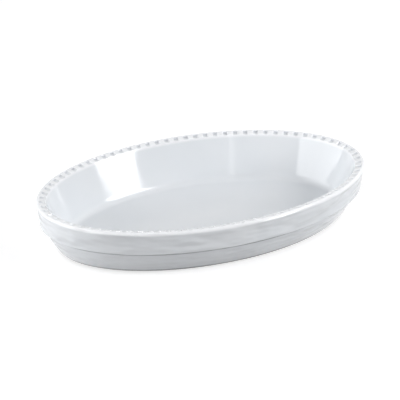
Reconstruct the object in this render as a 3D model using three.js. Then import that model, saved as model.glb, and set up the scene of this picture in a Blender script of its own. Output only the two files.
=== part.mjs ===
// Oval baking dish in white porcelain: a fired body, the glaze over it and the glaze under its floor.
// Millimetres, +Z up, length along X, the dish stands on the plane Z = 0 and is centred on the Z axis.
import * as THREE from "three";

const degrees = Math.PI / 180;

// Overall size, measured over the glaze
const dishLength = 320;
const dishWidth = 197.4;
const dishHeight = 49;
const glazeThickness = 0.35;

// Rim: a rolled edge, then a lip that falls towards the inside and turns down into the wall
const rollRadius = 2.4;
const rollUnder = 48 * degrees;
const neckRadius = 2.5;
const lipFall = 14 * degrees;
const lipFlat = 4.2;
const lipEdgeRadius = 1.6;

// Notches pressed across the crest of the rim
const notchCount = 82;
const notchDepth = 1.2;
const notchHalfShare = 0.26;
const notchOuterStart = 36 * degrees;
const notchOuterFull = 6 * degrees;
const notchInnerEnd = 36 * degrees;

// Collar: the upper band of the outside, with a narrow ledge under it and a crease above the lower wall
const collarDrop = 22.6;
const collarTaper = 5 * degrees;
const collarEdgeRadius = 0.8;
const ledgeWidth = 0.9;
const creaseLean = 88 * degrees;
const creaseRadius = 0.4;

// Lower wall of the outside, bulging a little and turning in to the foot
const wallTopLean = 25 * degrees;
const wallFootLean = 37 * degrees;
const footTurnRadius = 17;
const footTurnLean = 60 * degrees;
const glazeLineLean = 49 * degrees;

// Foot ring and the recess inside it
const footEdgeRadius = 1;
const footWidth = 4;
const recessRise = 1.6;
const recessSlope = 1.8;
const bareBand = 1.5;

// Inside
const innerLean = 22 * degrees;
const floorTurnRadius = 8;
const floorHeight = 7.1;

// Facets
const arcSteps = 3;
const shortArcSteps = 2;
const fineArcSteps = 1;
const edgeDivisions = 4000;

// The outer edge of the fired body, which the glaze brings out to the overall size
const edgeHalfLength = dishLength / 2 - glazeThickness;
const edgeHalfWidth = dishWidth / 2 - glazeThickness;
const bodyTop = dishHeight - glazeThickness;
const edge = new THREE.EllipseCurve(0, 0, edgeHalfLength, edgeHalfWidth, 0, 2 * Math.PI);
edge.arcLengthDivisions = edgeDivisions;

// A place on the edge of the rim, at a share of the way round it, with the direction that points outwards
function edgePlace(share) {
  const turn = 2 * Math.PI * edge.getUtoTmapping(((share % 1) + 1) % 1);
  const point = new THREE.Vector2(edgeHalfLength * Math.cos(turn), edgeHalfWidth * Math.sin(turn));
  const outwards = new THREE.Vector2(edgeHalfWidth * Math.cos(turn), edgeHalfLength * Math.sin(turn));
  return { point, outwards: outwards.normalize() };
}

const smoothPlaces = [];
const notchedPlaces = [];
for (let notch = 0; notch < notchCount; notch += 1) {
  const centre = edgePlace(notch / notchCount);
  smoothPlaces.push({ ...centre, groove: 0 });
  notchedPlaces.push({ ...edgePlace((notch - notchHalfShare) / notchCount), groove: 0 });
  notchedPlaces.push({ ...centre, groove: 1 });
  notchedPlaces.push({ ...edgePlace((notch + notchHalfShare) / notchCount), groove: 0 });
}

// A profile row: inset is measured inwards from the edge of the rim, height upwards from the table
function row(inset, height, normalAngle, options = {}) {
  return {
    inset,
    height,
    normalInset: Math.cos(normalAngle),
    normalHeight: Math.sin(normalAngle),
    notched: options.notched ?? false,
    depth: options.depth ?? 0,
  };
}

// The row on an arc whose surface faces away from the centre
function roundRow(centre, radius, angle, options) {
  const inset = centre.x + radius * Math.cos(angle);
  const height = centre.y + radius * Math.sin(angle);
  return row(inset, height, angle, options);
}

// Rows along an arc; a hollow arc faces its centre, a round one faces away from it
function arcRows(centre, radius, fromAngle, toAngle, steps, hollow) {
  const rows = [];
  for (let step = 0; step <= steps; step += 1) {
    const angle = fromAngle + ((toAngle - fromAngle) * step) / steps;
    const made = roundRow(centre, radius, angle);
    rows.push(hollow ? row(made.inset, made.height, angle + Math.PI) : made);
  }
  return rows;
}

function along(start, angle, distance) {
  return new THREE.Vector2(start.x + distance * Math.cos(angle), start.y + distance * Math.sin(angle));
}

// Centres of the arcs, worked out from the rim downwards so that each arc meets its neighbours smoothly
const rollCentre = new THREE.Vector2(rollRadius, bodyTop - rollRadius);
const rollEndAngle = Math.PI + rollUnder;
const neckCentre = along(rollCentre, rollEndAngle, rollRadius + neckRadius);
const collarTop = along(neckCentre, collarTaper, neckRadius);
const collarFacing = Math.PI + collarTaper;
const creaseHeight = dishHeight - collarDrop;
const collarEdgeHeight = creaseHeight + collarEdgeRadius * Math.sin(creaseLean);
const collarEdgeStart = collarEdgeHeight + collarEdgeRadius * Math.sin(collarFacing);
const collarBottom = new THREE.Vector2(
  collarTop.x + (collarTop.y - collarEdgeStart) * Math.tan(collarTaper),
  collarEdgeStart,
);
const collarEdgeCentre = along(collarBottom, collarFacing, -collarEdgeRadius);
const ledgeOuter = along(collarEdgeCentre, Math.PI + creaseLean, collarEdgeRadius);
const ledgeInner = along(ledgeOuter, creaseLean - Math.PI / 2, ledgeWidth);
const creaseCentre = along(ledgeInner, Math.PI + creaseLean, creaseRadius);
const wallTop = along(creaseCentre, wallTopLean, creaseRadius);
const footEdgeTop = footEdgeRadius * (1 - Math.sin(footTurnLean));
const footTurnHeight = footEdgeTop + footTurnRadius * Math.sin(footTurnLean);
const wallBottomHeight = footTurnHeight - footTurnRadius * Math.sin(wallFootLean);
const wallRadius = (wallTop.y - wallBottomHeight) / (Math.sin(wallFootLean) - Math.sin(wallTopLean));
const wallCentre = along(wallTop, wallTopLean, wallRadius);
const footTurnCentre = along(wallCentre, Math.PI + wallFootLean, wallRadius - footTurnRadius);
const footEdge = along(footTurnCentre, Math.PI + footTurnLean, footTurnRadius);
const footOuterInset = footEdge.x + footEdgeRadius * Math.cos(footTurnLean);
const footInnerInset = footOuterInset + footWidth;
const recessInset = footInnerInset + recessSlope;
const underGlazeInset = recessInset + bareBand;

const lipFacing = Math.PI / 2 - lipFall;
const lipStart = along(rollCentre, lipFacing, rollRadius);
const lipEnd = along(lipStart, -lipFall, lipFlat);
const lipEdgeCentre = along(lipEnd, lipFacing, -lipEdgeRadius);
const innerTop = along(lipEdgeCentre, innerLean, lipEdgeRadius);
const floorTurnHeight = floorHeight + floorTurnRadius;
const innerBottomHeight = floorTurnHeight - floorTurnRadius * Math.sin(innerLean);
const innerBottomInset = innerTop.x + (innerTop.y - innerBottomHeight) * Math.tan(innerLean);
const floorTurnCentre = new THREE.Vector2(
  innerBottomInset + floorTurnRadius * Math.cos(innerLean),
  floorTurnHeight,
);

// The bare foot: from the glaze under the floor, round the foot ring, to the glaze line outside
const facingDown = -Math.PI / 2;
const footRows = [
  row(underGlazeInset, recessRise, facingDown),
  row(recessInset, recessRise, facingDown),
  row(footInnerInset, 0, facingDown),
  row(footOuterInset, 0, facingDown),
  row(footEdge.x, footEdge.y, Math.PI + footTurnLean),
  roundRow(footTurnCentre, footTurnRadius, Math.PI + glazeLineLean),
];

// The glazed surface: from the glaze line up the outside, over the rim, down the inside to the floor
const pressed = { notched: true, depth: notchDepth };
const unpressed = { notched: true, depth: 0 };
const glazedRows = [
  ...arcRows(
    footTurnCentre,
    footTurnRadius,
    Math.PI + glazeLineLean,
    Math.PI + wallFootLean,
    shortArcSteps,
    false,
  ),
  ...arcRows(
    wallCentre,
    wallRadius,
    Math.PI + wallFootLean,
    Math.PI + wallTopLean,
    shortArcSteps,
    false,
  ).slice(1),
  ...arcRows(creaseCentre, creaseRadius, wallTopLean, creaseLean, fineArcSteps, true).slice(1),
  ...arcRows(
    collarEdgeCentre,
    collarEdgeRadius,
    Math.PI + creaseLean,
    collarFacing,
    fineArcSteps,
    false,
  ),
  ...arcRows(neckCentre, neckRadius, collarTaper, rollEndAngle - Math.PI, shortArcSteps, true),
  roundRow(rollCentre, rollRadius, Math.PI + rollUnder / 2),
  roundRow(rollCentre, rollRadius, Math.PI),
  roundRow(rollCentre, rollRadius, Math.PI / 2 + notchOuterStart, unpressed),
  roundRow(rollCentre, rollRadius, Math.PI / 2 + notchOuterFull, pressed),
  roundRow(lipEdgeCentre, lipEdgeRadius, lipFacing, pressed),
  roundRow(lipEdgeCentre, lipEdgeRadius, notchInnerEnd, unpressed),
  roundRow(lipEdgeCentre, lipEdgeRadius, innerLean),
  ...arcRows(floorTurnCentre, floorTurnRadius, Math.PI + innerLean, 1.5 * Math.PI, arcSteps, true),
];

// The points of one row, all the way round, raised off the fired body by a coat of glaze
function ringOf(profileRow, coat) {
  const places = profileRow.notched ? notchedPlaces : smoothPlaces;
  return places.map(({ point, outwards, groove }) => {
    const lift = coat - profileRow.depth * groove;
    const inset = profileRow.inset + lift * profileRow.normalInset;
    const height = profileRow.height + lift * profileRow.normalHeight;
    return new THREE.Vector3(point.x - outwards.x * inset, point.y - outwards.y * inset, height);
  });
}

// Triangles between two rings, the second of which lies further along the profile
function strip(triangles, first, second) {
  const count = Math.min(first.length, second.length);
  const perFirst = first.length / count;
  const perSecond = second.length / count;
  const middleFirst = Math.floor(perFirst / 2);
  const middleSecond = Math.floor(perSecond / 2);
  for (let index = 0; index < count; index += 1) {
    let a = index * perFirst + middleFirst;
    let b = index * perSecond + middleSecond;
    const lastA = a + perFirst;
    const lastB = b + perSecond;
    while (a < lastA || b < lastB) {
      const fromA = first[a % first.length];
      const fromB = second[b % second.length];
      if ((lastA - a) * perSecond >= (lastB - b) * perFirst && a < lastA) {
        a += 1;
        triangles.push([fromA, first[a % first.length], fromB]);
      } else {
        b += 1;
        triangles.push([fromA, second[b % second.length], fromB]);
      }
    }
  }
}

// A run of rings as one surface that faces away from the fired body
function surfaceOf(rings) {
  const triangles = [];
  for (let index = 1; index < rings.length; index += 1) {
    strip(triangles, rings[index - 1], rings[index]);
  }
  return triangles;
}

// A level disc that closes a ring, with the middle of the dish as its centre
function discOf(ring) {
  const centre = new THREE.Vector3(0, 0, ring[0].z);
  return ring.map((point, index) => [point, ring[(index + 1) % ring.length], centre]);
}

function turnedOver(triangles) {
  return triangles.map(([a, b, c]) => [a, c, b]);
}

function meshOf(name, triangles, material) {
  const geometry = new THREE.BufferGeometry().setFromPoints(triangles.flat());
  geometry.computeVertexNormals();
  const mesh = new THREE.Mesh(geometry, material);
  mesh.name = name;
  return mesh;
}

// Where the glaze meets the fired body, the two share the same facets
const footRings = footRows.map((profileRow) => ringOf(profileRow, 0));
const bodyRings = glazedRows.map((profileRow) => ringOf(profileRow, 0));
const coatRings = glazedRows.map((profileRow) => ringOf(profileRow, glazeThickness));
const underRing = footRings[0];
const underCoatRing = ringOf(footRows[0], glazeThickness);
const glazedSurface = [...surfaceOf(bodyRings), ...discOf(bodyRings.at(-1))];
const coatSurface = [...surfaceOf(coatRings), ...discOf(coatRings.at(-1))];
const underSurface = turnedOver(discOf(underRing));
const underCoatSurface = turnedOver(discOf(underCoatRing));

const bareFoot = surfaceOf(footRings);
const coatEdge = surfaceOf([bodyRings[0], coatRings[0]]);
const underCoatEdge = surfaceOf([underCoatRing, underRing]);

const biscuit = new THREE.MeshStandardMaterial({ color: 0xe8e3d9, roughness: 0.85, metalness: 0 });
const glaze = new THREE.MeshStandardMaterial({ color: 0xf3f5f5, roughness: 0.12, metalness: 0 });
const underGlaze = new THREE.MeshStandardMaterial({ color: 0xf0f2f1, roughness: 0.2, metalness: 0 });

const dish = new THREE.Group();
dish.name = "oval_baking_dish";
dish.add(meshOf("porcelain_body", [...underSurface, ...bareFoot, ...glazedSurface], biscuit));
dish.add(meshOf("glaze_coat", [...coatEdge, ...coatSurface, ...turnedOver(glazedSurface)], glaze));
dish.add(
  meshOf("underside_glaze", [...underCoatSurface, ...underCoatEdge, ...turnedOver(underSurface)], underGlaze),
);

export default dish;
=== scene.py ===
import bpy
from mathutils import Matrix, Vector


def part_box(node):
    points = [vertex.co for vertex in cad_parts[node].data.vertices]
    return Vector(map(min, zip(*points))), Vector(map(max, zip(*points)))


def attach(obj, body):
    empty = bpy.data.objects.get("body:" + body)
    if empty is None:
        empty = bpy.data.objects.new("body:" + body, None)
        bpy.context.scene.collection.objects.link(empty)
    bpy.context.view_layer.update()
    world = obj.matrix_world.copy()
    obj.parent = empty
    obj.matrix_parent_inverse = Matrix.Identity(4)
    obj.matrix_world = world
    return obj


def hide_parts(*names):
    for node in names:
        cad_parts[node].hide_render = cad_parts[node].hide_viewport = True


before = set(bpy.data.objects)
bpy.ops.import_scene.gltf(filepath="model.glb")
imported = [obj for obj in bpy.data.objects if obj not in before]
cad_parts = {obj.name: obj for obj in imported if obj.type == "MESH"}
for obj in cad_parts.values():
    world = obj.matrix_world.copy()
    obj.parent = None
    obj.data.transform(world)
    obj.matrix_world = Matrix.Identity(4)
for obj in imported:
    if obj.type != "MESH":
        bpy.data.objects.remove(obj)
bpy.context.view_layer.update()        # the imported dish: its bodies, nodes, joints and record
import copy
import math

import bpy
from mathutils import Vector

mm = 0.001
scene = bpy.context.scene
scene.view_settings.view_transform = "Standard"

# the camera stands in front and to the left of the dish, a little above it
shot = {
    "distance": 2.0,
    "elevation": math.radians(26.02),
    "turn": math.radians(24.97),         # how far the dish is turned from the line of sight
    "focalPixels": 2174.0,               # focal length in pixels of the 400 pixel frame
    "framePixels": 400.0,
    "sensor": 36.0,
    "slideRight": -2.94 * mm,
    "slideUp": -19.55 * mm,
}


def placeCamera(look, aim):
    turnCos, turnSin = math.cos(look["turn"]), math.sin(look["turn"])
    riseCos, riseSin = math.cos(look["elevation"]), math.sin(look["elevation"])
    right = Vector((turnCos, -turnSin, 0))
    forward = Vector((turnSin * riseCos, turnCos * riseCos, -riseSin))
    upward = Vector((turnSin * riseSin, turnCos * riseSin, riseCos))
    data = bpy.data.cameras.new("shotCamera")
    data.sensor_width = look["sensor"]
    data.lens = look["focalPixels"] / look["framePixels"] * look["sensor"]
    camera = bpy.data.objects.new("shotCamera", data)
    camera.location = (aim + right * look["slideRight"] + upward * look["slideUp"]
                       - forward * look["distance"])
    camera.rotation_euler = forward.to_track_quat("-Z", "Y").to_euler()
    scene.collection.objects.link(camera)
    scene.camera = camera
    return right, forward


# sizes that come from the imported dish
glazeHigh = Vector(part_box("glaze_coat")[1])
bodyHigh = Vector(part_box("porcelain_body")[1])
dish = {
    "coat": glazeHigh.x - bodyHigh.x,    # glaze thickness
    "halfLength": bodyHigh.x,            # edge of the fired body at the roll
    "halfWidth": bodyHigh.y,
    "top": glazeHigh.z - (glazeHigh.x - bodyHigh.x),
}
shotRight, shotForward = placeCamera(shot, Vector((0, 0, glazeHigh.z)))
print("camera placed")

# the cross section, as a maker would draw it: inset from the rim's edge, height above the table
section = {
    "rollRadius": 2.4 * mm,
    "rollUnder": math.radians(22),
    "neckRadius": 3 * mm,
    "lipFall": math.radians(14),
    "lipFlat": 4.2 * mm,
    "lipEdgeRadius": 1.6 * mm,
    "collarDrop": 22.25 * mm,            # from the top of the fired body to the crease
    "collarTaper": math.radians(8),
    "collarEdgeRadius": 0.8 * mm,
    "ledgeWidth": 2.7 * mm,
    "creaseLean": math.radians(88),
    "creaseRadius": 0.4 * mm,
    "shoulderLean": math.radians(-30),   # the wall rounds in to the crease
    "shoulderRadius": 1.5 * mm,
    "wallTopLean": math.radians(22),
    "wallSupport": math.radians(0.5),    # the wall's last row stays this far short of the shoulder
    "wallFootLean": math.radians(37),
    "footTurnRadius": 17 * mm,
    "footTurnLean": math.radians(60),
    "glazeLineLean": math.radians(49),
    "footEdgeRadius": 1.0 * mm,
    "footWidth": 4 * mm,
    "recessRise": 1.6 * mm,
    "recessSlope": 1.8 * mm,
    "bareBand": 1.5 * mm,
    "innerLean": math.radians(22),
    "floorTurnRadius": 8 * mm,
    "floorHeight": 7.1 * mm,
    "floorShares": (0.04, 0.6, 1.0),     # rows across the floor, as shares of the way to the middle
    "recessShares": (0.5, 1.0),
    "underShares": (0.02, 0.5, 1.0),
}
# how many steps each round of the section takes
arcSteps = {
    "footTurn": 3, "wall": 4, "shoulder": 3, "crease": 2, "collarEdge": 3, "neck": 2,
    "roll": 6, "rollNotch": 5, "lipEdge": 6, "floorTurn": 6,
    "recessEdge": 4, "footEdge": 3, "bareTurn": 4, "glazeEdge": 3,
}
notches = {
    "count": 82,
    "depth": 1.5 * mm,
    "floorShare": 0.19,                  # half the width of a notch at its floor, as a share of the pitch
    "halfShare": 0.26,                   # and at its mouth
    "gather": 0.05,                      # draws the steps round the rim together on a notch's sides
    "outerStart": math.radians(5),       # measured on the roll, outwards from its crest
    "innerEnd": math.radians(40),        # on the lip's inner edge, up from level
}
# where the glaze carries painted shade, where it is dented and where it carries a painted highlight
marks = {
    "footShade": (1.0, 1.0, 0.6, 0.0),   # painted contact shadow, row by row, up from the glaze line
    # painted shade in the crease, for the shadow under the collar
    "creaseShade": 0.8,
    "dentFrom": 0.75,                    # how squarely a place faces outwards before it has dents
    "dentFull": 0.95,
    "highlightGain": 1.4,                    # how fast the painted highlight fades as the rim turns away from the top
    "highlightStart": 0.3,
}


class Row:
    # one point of the section: where it is, which way it faces, how deep the notches go there,
    # how far it is drawn to the middle, how much painted shade and painted highlight it carries, and how
    # dented the glaze is
    def __init__(self, inset, height, facing, press=0.0, shrink=0.0):
        self.inset, self.height, self.facing = inset, height, facing
        self.press, self.shrink = press, shrink
        outward = -math.cos(facing)
        self.dent = eased((outward - marks["dentFrom"]) / (marks["dentFull"] - marks["dentFrom"]))
        self.paintedShade = self.crestHighlight = self.pool = 0.0

    def raised(self, lift):
        made = copy.copy(self)
        made.inset, made.height = polar((self.inset, self.height), self.facing, lift)
        return made


def polar(centre, angle, distance):
    return (centre[0] + distance * math.cos(angle), centre[1] + distance * math.sin(angle))


def eased(value):
    value = min(max(value, 0.0), 1.0)
    return value * value * (3 - 2 * value)


def arcRows(centre, radius, start, end, steps, hollow=False, press=None):
    rows = []
    for step in range(steps + 1):
        angle = start + (end - start) * step / steps
        facing = angle + math.pi if hollow else angle
        rows.append(Row(*polar(centre, angle, radius), facing, press(angle) if press else 0.0))
    return rows


def lineRows(start, end, facing, press=0.0, margin=0.06):
    # two rows just inside the ends of a straight stretch, so that the shading stays flat between them
    return [Row(start[0] + (end[0] - start[0]) * share, start[1] + (end[1] - start[1]) * share,
                facing, press) for share in (margin, 1 - margin)]


def floorRows(last, shares):
    # a level floor closes in towards the middle of the dish
    return [Row(last.inset, last.height, last.facing, shrink=share) for share in shares]


def glazedSection(cut, notch, top):
    # from the glaze line up the outside, over the rim and down the inside to the middle of the floor
    half, quarter = math.pi, math.pi / 2
    roll = (cut["rollRadius"], top - cut["rollRadius"])
    rollEnd = half + cut["rollUnder"]
    neck = polar(roll, rollEnd, cut["rollRadius"] + cut["neckRadius"])
    collarTop = polar(neck, cut["collarTaper"], cut["neckRadius"])
    collarFacing = half + cut["collarTaper"]
    edgeHeight = top - cut["collarDrop"] + cut["collarEdgeRadius"] * math.sin(cut["creaseLean"])
    edgeStart = edgeHeight + cut["collarEdgeRadius"] * math.sin(collarFacing)
    collarFoot = (collarTop[0] + (collarTop[1] - edgeStart) * math.tan(cut["collarTaper"]), edgeStart)
    edge = polar(collarFoot, collarFacing, -cut["collarEdgeRadius"])
    ledge = polar(edge, half + cut["creaseLean"], cut["collarEdgeRadius"])
    ledgeEnd = polar(ledge, cut["creaseLean"] - quarter, cut["ledgeWidth"])
    crease = polar(ledgeEnd, half + cut["creaseLean"], cut["creaseRadius"])
    shoulder = polar(crease, cut["shoulderLean"], cut["creaseRadius"] + cut["shoulderRadius"])
    wallTop = polar(shoulder, half + cut["wallTopLean"], cut["shoulderRadius"])
    turnHeight = (cut["footEdgeRadius"] * (1 - math.sin(cut["footTurnLean"]))
                  + cut["footTurnRadius"] * math.sin(cut["footTurnLean"]))
    wallFootHeight = turnHeight - cut["footTurnRadius"] * math.sin(cut["wallFootLean"])
    wallRadius = ((wallTop[1] - wallFootHeight)
                  / (math.sin(cut["wallFootLean"]) - math.sin(cut["wallTopLean"])))
    wall = polar(wallTop, cut["wallTopLean"], wallRadius)
    turn = polar(wall, half + cut["wallFootLean"], wallRadius - cut["footTurnRadius"])

    lipFacing = quarter - cut["lipFall"]
    lipStart = polar(roll, lipFacing, cut["rollRadius"])
    lipEnd = polar(lipStart, -cut["lipFall"], cut["lipFlat"])
    lipEdge = polar(lipEnd, lipFacing, -cut["lipEdgeRadius"])
    innerTop = polar(lipEdge, cut["innerLean"], cut["lipEdgeRadius"])
    floorTurnHeight = cut["floorHeight"] + cut["floorTurnRadius"]
    innerFootHeight = floorTurnHeight - cut["floorTurnRadius"] * math.sin(cut["innerLean"])
    innerFall = innerTop[1] - innerFootHeight
    innerFoot = (innerTop[0] + innerFall * math.tan(cut["innerLean"]), innerFootHeight)
    floorTurn = (innerFoot[0] + cut["floorTurnRadius"] * math.cos(cut["innerLean"]), floorTurnHeight)

    notchStart = quarter + notch["outerStart"]

    def rollPress(angle):
        return eased((notchStart - angle) / (notchStart - lipFacing))

    def edgePress(angle):
        return eased((angle - notch["innerEnd"]) / (lipFacing - notch["innerEnd"]))

    # painted shade along the foot and in the crease: a painted contact shadow and a painted shadow under
    # the collar
    rows = arcRows(turn, cut["footTurnRadius"], half + cut["glazeLineLean"],
                   half + cut["wallFootLean"], arcSteps["footTurn"])
    for row, paintedShade in zip(rows, marks["footShade"]):
        row.paintedShade = paintedShade
    rows += arcRows(wall, wallRadius, half + cut["wallFootLean"],
                    half + cut["wallTopLean"] + cut["wallSupport"], arcSteps["wall"])[1:]
    creaseRows = arcRows(shoulder, cut["shoulderRadius"], half + cut["wallTopLean"],
                         half + cut["shoulderLean"], arcSteps["shoulder"])
    creaseRows += arcRows(crease, cut["creaseRadius"], cut["shoulderLean"], cut["creaseLean"],
                          arcSteps["crease"], hollow=True)[1:]
    for row in creaseRows:
        row.paintedShade = marks["creaseShade"]
    rows += creaseRows
    rows += arcRows(edge, cut["collarEdgeRadius"], half + cut["creaseLean"], collarFacing,
                    arcSteps["collarEdge"])
    rows += lineRows(collarFoot, collarTop, collarFacing)
    rows += arcRows(neck, cut["neckRadius"], cut["collarTaper"], cut["rollUnder"],
                    arcSteps["neck"], hollow=True)

    # painted highlight where the rim faces up, and painted shade at the outer end of the notches, where the
    # glaze also pools
    rim = arcRows(roll, cut["rollRadius"], rollEnd, notchStart, arcSteps["roll"])[1:]
    rim += arcRows(roll, cut["rollRadius"], notchStart, lipFacing, arcSteps["rollNotch"],
                   press=rollPress)[1:]
    rim += lineRows(lipStart, lipEnd, lipFacing, press=1.0)
    rim += arcRows(lipEdge, cut["lipEdgeRadius"], lipFacing, cut["innerLean"], arcSteps["lipEdge"],
                   press=edgePress)
    for row in rim:
        row.crestHighlight = eased(marks["highlightGain"] * math.sin(row.facing) + marks["highlightStart"])
        # painted shade in the notches, strongest at their outer end
        row.pool = row.press * (1 - eased((row.inset - lipStart[0]) / cut["lipFlat"]))
    rows += rim
    rows += lineRows(innerTop, innerFoot, cut["innerLean"])
    rows += arcRows(floorTurn, cut["floorTurnRadius"], half + cut["innerLean"], half + quarter,
                    arcSteps["floorTurn"], hollow=True)
    rows += floorRows(rows[-1], cut["floorShares"])

    footEdge = polar(turn, half + cut["footTurnLean"], cut["footTurnRadius"])
    return rows, turn, footEdge


def footSection(cut, turn, footEdge):
    # from the middle of the recess, round the bare foot ring, to the glaze line outside
    half, quarter = math.pi, math.pi / 2
    down = -quarter
    edgeRadius = cut["footEdgeRadius"]
    outer = footEdge[0] + edgeRadius * math.cos(cut["footTurnLean"])
    inner = outer + cut["footWidth"]
    recess = inner + cut["recessSlope"]
    slope = math.atan2(cut["recessRise"], cut["recessSlope"])
    band = Row(recess + cut["bareBand"], cut["recessRise"], down)
    rows = floorRows(band, cut["recessShares"])[::-1] + [band]
    reach = edgeRadius * math.tan(slope / 2)
    rows += arcRows((recess + reach, cut["recessRise"] - edgeRadius), edgeRadius, quarter, slope + quarter,
                    arcSteps["recessEdge"], hollow=True)
    rows += arcRows((inner - reach, edgeRadius), edgeRadius, slope + down, down, arcSteps["recessEdge"])
    rows += arcRows((outer, edgeRadius), edgeRadius, down, down - (quarter - cut["footTurnLean"]),
                    arcSteps["footEdge"])
    rows += arcRows(turn, cut["footTurnRadius"], half + cut["footTurnLean"], half + cut["glazeLineLean"],
                    arcSteps["bareTurn"])[1:]
    return rows, band


def roundedEdge(row, coat, start, end):
    # the edge of a coat of glaze, rounded over as it is after firing; angles count from the row's facing
    middle = row.raised(coat / 2)
    return arcRows((middle.inset, middle.height), coat / 2, row.facing + start, row.facing + end,
                   arcSteps["glazeEdge"])[1:-1]


glazedRows, footTurn, footEdgePoint = glazedSection(section, notches, dish["top"])
bareRows, underBand = footSection(section, footTurn, footEdgePoint)
print("section drawn:", len(glazedRows), "rows of glaze,", len(bareRows), "rows of bare foot")


def sectionObject(name, rows):
    # the section as a run of edges, with what each point needs to know as attributes
    mesh = bpy.data.meshes.new(name)
    points = [(row.inset, 0, row.height) for row in rows]
    mesh.from_pydata(points, [(index, index + 1) for index in range(len(rows) - 1)], [])
    for label in ("press", "shrink", "paintedShade", "dent", "crestHighlight", "pool"):
        values = mesh.attributes.new(label, "FLOAT", "POINT")
        values.data.foreach_set("value", [getattr(row, label) for row in rows])
    made = bpy.data.objects.new(name, mesh)
    scene.collection.objects.link(made)
    return made


class NodeMaker:
    # shorthands for wiring the nodes of a tree
    def __init__(self, tree):
        self.tree = tree

    def node(self, kind, links=None, **settings):
        made = self.tree.nodes.new(kind)
        for key, value in settings.items():
            setattr(made, key, value)
        for key, value in (links or {}).items():
            if isinstance(value, bpy.types.NodeSocket):
                self.tree.links.new(value, made.inputs[key])
            else:
                made.inputs[key].default_value = value
        return made

    def math(self, operation, first, second=None):
        links = {0: first} if second is None else {0: first, 1: second}
        return self.node("ShaderNodeMath", links, operation=operation).outputs[0]

    def ranged(self, value, low, high, toLow, toHigh, **settings):
        return self.node("ShaderNodeMapRange", {"Value": value, "From Min": low, "From Max": high,
                                                "To Min": toLow, "To Max": toHigh}, **settings).outputs[0]


class TreeMaker(NodeMaker):
    # a Geometry Nodes tree that remembers the identifiers of its inputs
    def __init__(self, name):
        super().__init__(bpy.data.node_groups.new(name, "GeometryNodeTree"))
        self.sockets = {}

    def ask(self, name, kind):
        socket = self.tree.interface.new_socket(name, in_out="INPUT", socket_type="NodeSocket" + kind)
        self.sockets[name] = socket.identifier

    def vector(self, operation, first, links):
        return self.node("ShaderNodeVectorMath", {0: first, **links}, operation=operation).outputs[0]

    def split(self, vector):
        return self.node("ShaderNodeSeparateXYZ", {0: vector}).outputs

    def joined(self, parts):
        return self.node("ShaderNodeCombineXYZ", parts).outputs[0]


ovalDetail = {
    "edgePoints": 2880,                  # points on the oval that the rim's edge is sampled from
    "weld": 2e-6,                        # closes the seam and the middle of the floor
}


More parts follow.
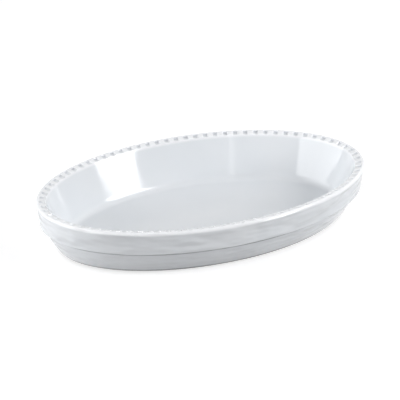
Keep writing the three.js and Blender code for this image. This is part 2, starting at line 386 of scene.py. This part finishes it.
def ovalTree(detail):
    # carries a section round an oval, evenly along its edge, and presses the notches into it
    make = TreeMaker("carryRoundOval")
    make.tree.interface.new_socket("Geometry", in_out="OUTPUT", socket_type="NodeSocketGeometry")
    for label, kind in (("Section", "Geometry"), ("Half Length", "Float"), ("Half Width", "Float"),
                        ("Notches", "Int"), ("Steps per Notch", "Int"), ("Notch Depth", "Float"),
                        ("Notch Floor Share", "Float"), ("Notch Half Share", "Float"),
                        ("Gather", "Float"), ("Finish", "Material")):
        make.ask(label, kind)
    given = make.node("NodeGroupInput").outputs

    size = make.node("GeometryNodeAttributeDomainSize", {"Geometry": given["Section"]}, component="MESH")
    rowCount = size.outputs["Point Count"]
    around = make.math("MULTIPLY", given["Notches"], given["Steps per Notch"])
    grid = make.node("GeometryNodeMeshGrid", {"Size X": 1.0, "Size Y": 1.0,
                                              "Vertices X": make.math("ADD", around, 1.0),
                                              "Vertices Y": rowCount})
    place = make.split(make.node("GeometryNodeInputPosition").outputs[0])
    evenShare = make.math("ADD", place["X"], 0.5)
    evenNotch = make.math("MULTIPLY", evenShare, given["Notches"])
    swing = make.math("SINE", make.math("MULTIPLY", evenNotch, 4 * math.pi))
    drawn = make.math("DIVIDE", make.math("MULTIPLY", swing, given["Gather"]), given["Notches"])
    share = make.math("ADD", evenShare, drawn)
    lastRow = make.math("SUBTRACT", rowCount, 1.0)
    rowIndex = make.math("ROUND", make.math("MULTIPLY", make.math("ADD", place["Y"], 0.5), lastRow))

    # the edge of the rim, sampled evenly along its length
    circle = make.node("GeometryNodeCurvePrimitiveCircle", {"Resolution": detail["edgePoints"],
                                                            "Radius": 1.0}).outputs[0]
    axes = make.joined({"X": given["Half Length"], "Y": given["Half Width"], "Z": 1.0})
    rimEdge = make.node("GeometryNodeTransform", {"Geometry": circle, "Scale": axes}).outputs[0]
    onEdge = make.node("GeometryNodeSampleCurve", {"Curves": rimEdge, "Factor": share}, mode="FACTOR",
                       use_all_curves=True).outputs
    along = make.split(onEdge["Tangent"])
    outwards = make.joined({"X": along["Y"], "Y": make.math("MULTIPLY", along["X"], -1.0)})

    def fromRow(value, kind):
        return make.node("GeometryNodeSampleIndex", {"Geometry": given["Section"], "Value": value,
                                                     "Index": rowIndex}, data_type=kind).outputs[0]

    def mark(label):
        value = make.node("GeometryNodeInputNamedAttribute", {"Name": label}, data_type="FLOAT").outputs[0]
        return fromRow(value, "FLOAT")

    point = make.split(fromRow(make.node("GeometryNodeInputPosition").outputs[0], "FLOAT_VECTOR"))

    # how deep this place lies in its notch
    phase = make.math("FRACT", make.math("ADD", make.math("MULTIPLY", share, given["Notches"]), 0.5))
    offCentre = make.math("ABSOLUTE", make.math("SUBTRACT", phase, 0.5))
    groove = make.ranged(offCentre, given["Notch Floor Share"], given["Notch Half Share"], 1.0, 0.0,
                         interpolation_type="SMOOTHSTEP")
    pressed = make.math("MULTIPLY", groove, mark("press"))
    sunk = make.math("MULTIPLY", pressed, make.math("MULTIPLY", given["Notch Depth"], -1.0))
    height = make.math("ADD", point["Z"], sunk)

    back = make.vector("SCALE", outwards, {"Scale": point["X"]})
    ring = make.vector("SUBTRACT", onEdge["Position"], {1: back})
    closed = make.vector("SCALE", ring, {"Scale": make.math("SUBTRACT", 1.0, mark("shrink"))})
    spot = make.vector("ADD", closed, {1: make.joined({"Z": height})})

    # the painted shade, the painted highlight and the dents go to the finish as attributes
    marked = grid
    poolShadeMask = make.math("MULTIPLY", groove, mark("pool"))
    for label, value in (("poolShadeMask", poolShadeMask), ("paintedShadeMask", mark("paintedShade")), ("dented", mark("dent")),
                         ("crestHighlightMask", mark("crestHighlight"))):
        marked = make.node("GeometryNodeStoreNamedAttribute", {"Geometry": marked.outputs[0], "Name": label,
                                                               "Value": value},
                           data_type="FLOAT", domain="POINT")
    shaped = make.node("GeometryNodeSetPosition", {"Geometry": marked.outputs[0], "Position": spot})
    welded = make.node("GeometryNodeMergeByDistance", {"Geometry": shaped.outputs[0],
                                                       "Distance": detail["weld"]})
    smooth = make.node("GeometryNodeSetShadeSmooth", {"Geometry": welded.outputs[0], "Shade Smooth": True})
    real = make.node("GeometryNodeRealizeInstances", {"Geometry": smooth.outputs[0]})
    done = make.node("GeometryNodeSetMaterial", {"Geometry": real.outputs[0], "Material": given["Finish"]})
    make.node("NodeGroupOutput", {"Geometry": done.outputs[0]})
    return make


oval = ovalTree(ovalDetail)


def carryRound(name, rows, finish, steps):
    # runs the tree on a section and keeps the result as a plain mesh
    source = sectionObject(name + "_section", rows)
    modifier = source.modifiers.new("carryRound", "NODES")
    modifier.node_group = oval.tree
    wanted = {
        "Half Length": dish["halfLength"],
        "Half Width": dish["halfWidth"],
        "Notches": notches["count"],
        "Steps per Notch": steps,
        "Notch Depth": notches["depth"],
        "Notch Floor Share": notches["floorShare"],
        "Notch Half Share": notches["halfShare"],
        "Gather": notches["gather"],
        "Finish": finish,
    }
    for label, value in wanted.items():
        modifier[oval.sockets[label]] = value
    graph = bpy.context.evaluated_depsgraph_get()
    mesh = bpy.data.meshes.new_from_object(source.evaluated_get(graph), depsgraph=graph)
    mesh.name = name
    source.modifiers.remove(modifier)
    sectionMesh = source.data
    bpy.data.objects.remove(source)
    bpy.data.meshes.remove(sectionMesh)
    piece = bpy.data.objects.new(name, mesh)
    scene.collection.objects.link(piece)
    print(name, "made,", len(mesh.polygons), "faces")
    return piece


class FinishMaker(NodeMaker):
    # a material with its shader and the object's own coordinates at hand
    def __init__(self, name):
        self.material = bpy.data.materials.new(name)
        self.material.use_nodes = True
        super().__init__(self.material.node_tree)
        self.shader = self.tree.nodes["Principled BSDF"]
        self.place = self.node("ShaderNodeTexCoord").outputs["Object"]

    def link(self, output, label):
        self.tree.links.new(output, self.shader.inputs[label])

    def noise(self, scale, detail=2.0):
        return self.node("ShaderNodeTexNoise", {"Vector": self.place, "Scale": scale,
                                                "Detail": detail}).outputs["Fac"]

    def blend(self, share, first, second):
        return self.node("ShaderNodeMix", {0: share, 6: first, 7: second}, data_type="RGBA").outputs[2]

    def bump(self, height, strength, distance, under=None):
        links = {"Height": height, "Strength": strength, "Distance": distance}
        if under:
            links["Normal"] = under
        return self.node("ShaderNodeBump", links).outputs[0]


glazeLook = {
    "white": (0.785, 0.806, 0.832, 1),
    "cool": (0.755, 0.782, 0.812, 1),    # where the glaze lies thicker
    "driftScale": 14.0,                  # from one to the other and back in about 70 mm
    "rim": (0.90, 0.912, 0.935, 1),      # painted highlight on the rim's crest, lighter where it faces up
    "pool": (0.66, 0.685, 0.72, 1),      # painted shade at the outer end of the notches, where the glaze also pools
    "paintedShade": (0.08, 0.083, 0.095, 1),    # painted shade in the crease and painted contact shadow along the foot
    "shadeVariationScale": 9.0,                   # the painted shade comes and goes along the dish
    "shadeVariationLeast": 0.6,
    "speck": (0.55, 0.53, 0.50, 1),
    "speckScale": 90.0,
    "speckSize": (0.02, 0.035),
    "speckPatchScale": 60.0,             # specks show in few places
    "speckPatch": (0.66, 0.7),
    "speckStrength": 0.5,
    "roughScale": 35.0,
    "specular": 0.5,
    "dullSpecular": 0.03,                # under the painted shade and in the notches
    "ior": 1.5,
    "dentScale": (36.0, 36.0, 110.0),    # faint level dents, long and low
    "dentBump": (0.6, 6 * mm),           # strength and distance
    "waveScale": 26.0,                   # long soft waves, about 40 mm from crest to crest
    "waveBump": (0.3, 0.6 * mm),
    "peelScale": 420.0,
    "peelBump": (0.10, 0.05 * mm),
}


def glazeFinish(look, name, roughLow, roughHigh):
    make = FinishMaker(name)
    drift = make.ranged(make.noise(look["driftScale"], 3.0), 0.35, 0.65, 0.0, 1.0)
    tone = make.blend(drift, look["white"], look["cool"])
    # painted highlight on the crest; painted shade in the notches, in the crease and along the foot
    pool, paintedShade, dent, crestHighlight = (make.node("ShaderNodeAttribute", attribute_name=label).outputs["Fac"]
                                for label in ("poolShadeMask", "paintedShadeMask", "dented", "crestHighlightMask"))
    # the painted shade is broken up along the dish
    shadeVariation = make.ranged(make.noise(look["shadeVariationScale"], 1.0), 0.4, 0.6, look["shadeVariationLeast"], 1.0)
    paintedShade = make.math("MULTIPLY", paintedShade, shadeVariation)
    tone = make.blend(crestHighlight, tone, look["rim"])
    tone = make.blend(pool, tone, look["pool"])
    tone = make.blend(paintedShade, tone, look["paintedShade"])
    cells = make.node("ShaderNodeTexVoronoi", {"Vector": make.place, "Scale": look["speckScale"]})
    dots = make.ranged(cells.outputs["Distance"], *look["speckSize"], 1.0, 0.0)
    patches = make.ranged(make.noise(look["speckPatchScale"], 1.0), *look["speckPatch"],
                          0.0, look["speckStrength"])
    specks = make.math("MULTIPLY", dots, patches)
    make.link(make.blend(specks, tone, look["speck"]), "Base Color")
    make.link(make.ranged(make.noise(look["roughScale"], 4.0), 0.3, 0.7, roughLow, roughHigh), "Roughness")

    stretched = make.node("ShaderNodeMapping", {"Vector": make.place, "Scale": look["dentScale"]})
    dents = make.node("ShaderNodeTexNoise", {"Vector": stretched.outputs[0], "Scale": 1.0, "Detail": 1.0})
    dents = make.ranged(dents.outputs["Fac"], 0.0, 1.0, -0.5, 0.5)
    dented = make.bump(make.math("MULTIPLY", dents, dent), *look["dentBump"])
    wave = make.bump(make.noise(look["waveScale"], 1.0), *look["waveBump"], dented)
    peel = make.bump(make.noise(look["peelScale"]), *look["peelBump"], wave)
    make.link(peel, "Normal")
    make.shader.inputs["IOR"].default_value = look["ior"]
    dull = make.math("MAXIMUM", paintedShade, pool)
    make.link(make.ranged(dull, 0.0, 1.0, look["specular"], look["dullSpecular"]), "Specular IOR Level")
    return make.material


# bare fired clay: off-white and dry with a fine grain, with painted shade in dark grey on all but the face
# it stands on
biscuitLook = {
    "pale": (0.70, 0.675, 0.63, 1),
    "deep": (0.62, 0.59, 0.54, 1),
    "cloudScale": 30.0,
    "grey": (0.17, 0.165, 0.16, 1),
    "bareShadeRise": (0.1 * mm, 0.4 * mm),    # heights between which the painted shade comes in
    "greyStrength": 0.9,
    "grit": (0.42, 0.39, 0.35, 1),
    "gritScale": 900.0,
    "gritStrength": 0.5,
    "specular": 0.05,
    "roughScale": 200.0,
    "roughRange": (0.72, 0.92),
    "grainScale": 1400.0,
    "grainBump": (0.35, 0.12 * mm),
}


def biscuitFinish(look):
    make = FinishMaker("bareBiscuit")
    cloud = make.ranged(make.noise(look["cloudScale"], 4.0), 0.35, 0.7, 0.0, 1.0)
    tone = make.blend(cloud, look["pale"], look["deep"])
    height = make.node("ShaderNodeSeparateXYZ", {0: make.place}).outputs["Z"]
    # painted shade: dark grey above the face it stands on
    tone = make.blend(make.ranged(height, *look["bareShadeRise"], 0.0, look["greyStrength"]), tone, look["grey"])
    grit = make.ranged(make.noise(look["gritScale"], 3.0), 0.62, 0.72, 0.0, look["gritStrength"])
    make.link(make.blend(grit, tone, look["grit"]), "Base Color")
    make.shader.inputs["Specular IOR Level"].default_value = look["specular"]
    make.link(make.ranged(make.noise(look["roughScale"], 3.0), 0.3, 0.7, *look["roughRange"]), "Roughness")
    make.link(make.bump(make.noise(look["grainScale"], 4.0), *look["grainBump"]), "Normal")
    return make.material


glaze = glazeFinish(glazeLook, "clearGlaze", 0.06, 0.12)
underGlaze = glazeFinish(glazeLook, "underGlaze", 0.12, 0.24)
biscuit = biscuitFinish(biscuitLook)
print("finishes mixed")

# how finely each piece is made
fineness = {
    "rimSteps": 16,                      # steps from one notch to the next
    "underSteps": 4,
    "coatBackKeep": 3,                   # one row in three on the back of the glaze, which is out of sight
    "bodyKeep": 2,
}


def thinned(rows, keep):
    # fewer rows for a surface that is out of sight
    return [row for index, row in enumerate(rows) if index % keep == 0 or index == len(rows) - 1]


coat = dish["coat"]
coatRows = roundedEdge(glazedRows[0], coat, math.pi, 0) + [row.raised(coat) for row in glazedRows]
coatBack = thinned(glazedRows, fineness["coatBackKeep"])[::-1]
dishGlaze = carryRound("dish_glaze", coatRows + coatBack + coatRows[:1], glaze, fineness["rimSteps"])

underRows = floorRows(underBand, section["underShares"])[::-1] + [underBand]
underCoat = [row.raised(coat) for row in underRows] + roundedEdge(underBand, coat, 0, -math.pi)
dishUnder = carryRound("underside_coat", underCoat + underRows[::-1], underGlaze, fineness["underSteps"])

bodyRows = bareRows + thinned(glazedRows, fineness["bodyKeep"])
dishBody = carryRound("fired_body", bodyRows, biscuit, fineness["rimSteps"])

for piece, node, slot in ((dishGlaze, "glaze_coat", "glaze"), (dishUnder, "underside_glaze", "glaze"),
                          (dishBody, "porcelain_body", "biscuit")):
    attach(piece, "root")
    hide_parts(node)
print("pieces set on the frame")

# a plain pale floor, white to the camera but for the dish's own shadow
studio = {
    "floorSize": 6.0,
    "floorWhite": (0.50, 0.50, 0.505, 1),
    "floorGlow": 0.66,
    "worldWhite": (0.98, 0.99, 1.0, 1),
    "worldLevel": 0.03,
}


def backdropSeen(make):
    # 1 for the rays that should meet a white backdrop: those of the camera, of gloss and of glass
    rays = make.node("ShaderNodeLightPath").outputs
    gloss = make.math("MAXIMUM", rays["Is Glossy Ray"], rays["Is Transmission Ray"])
    return make.math("MAXIMUM", rays["Is Camera Ray"], gloss)


def layFloor(look):
    half = look["floorSize"] / 2
    corners = [(-half, -half, 0), (half, -half, 0), (half, half, 0), (-half, half, 0)]
    mesh = bpy.data.meshes.new("studio_floor")
    mesh.from_pydata(corners, [], [(0, 1, 2, 3)])
    floor = bpy.data.objects.new("studio_floor", mesh)
    scene.collection.objects.link(floor)
    make = FinishMaker("studioFloor")
    make.shader.inputs["Base Color"].default_value = look["floorWhite"]
    make.shader.inputs["Roughness"].default_value = 1.0
    make.shader.inputs["Specular IOR Level"].default_value = 0.0
    make.shader.inputs["Emission Color"].default_value = (1, 1, 1, 1)
    make.link(make.ranged(backdropSeen(make), 0.0, 1.0, 0.0, look["floorGlow"]), "Emission Strength")
    mesh.materials.append(make.material)


def lightWorld(look):
    world = bpy.data.worlds.new("studioWorld")
    scene.world = world
    world.use_nodes = True
    make = NodeMaker(world.node_tree)
    shade = make.tree.nodes["Background"]
    shade.inputs["Color"].default_value = look["worldWhite"]
    level = make.ranged(backdropSeen(make), 0.0, 1.0, look["worldLevel"], 1.0)
    make.tree.links.new(level, shade.inputs["Strength"])


# lamps stand in the camera's terms, in metres: to its right, away from it, and up; all face the dish
lamps = {
    "topSoftbox": {"place": (0.0, 0.0, 1.8), "size": (1.6, 1.2), "watts": 1.0},
    "keySoftbox": {"place": (1.45, -0.48, 0.75), "size": (0.6, 0.9), "watts": 18.5},
    "leftSoftbox": {"place": (-1.25, -0.25, 1.35), "size": (1.6, 1.2), "watts": 13.0},
    "leftLowSoftbox": {"place": (-1.48, -0.60, 0.42), "size": (2.4, 0.8), "watts": 22.5},
    "rightSoftbox": {"place": (1.2, 0.6, 1.2), "size": (2.2, 1.6), "watts": 12.0},
    "frontStrip": {"place": (0.53, -1.5, 0.55), "size": (0.06, 0.8), "watts": 0.35},
}


def hangLamps(looks, aim):
    level = Vector((shotForward.x, shotForward.y, 0)).normalized()
    for name, look in looks.items():
        data = bpy.data.lights.new(name, "AREA")
        data.shape = "RECTANGLE"
        data.size, data.size_y = look["size"]
        data.energy = look["watts"]
        lamp = bpy.data.objects.new(name, data)
        right, back, height = look["place"]
        lamp.location = shotRight * right + level * back + Vector((0, 0, height))
        lamp.rotation_euler = (aim - lamp.location).to_track_quat("-Z", "Y").to_euler()
        scene.collection.objects.link(lamp)


layFloor(studio)
lightWorld(studio)
hangLamps(lamps, Vector((0, 0, glazeHigh.z / 2)))
print("studio lit")
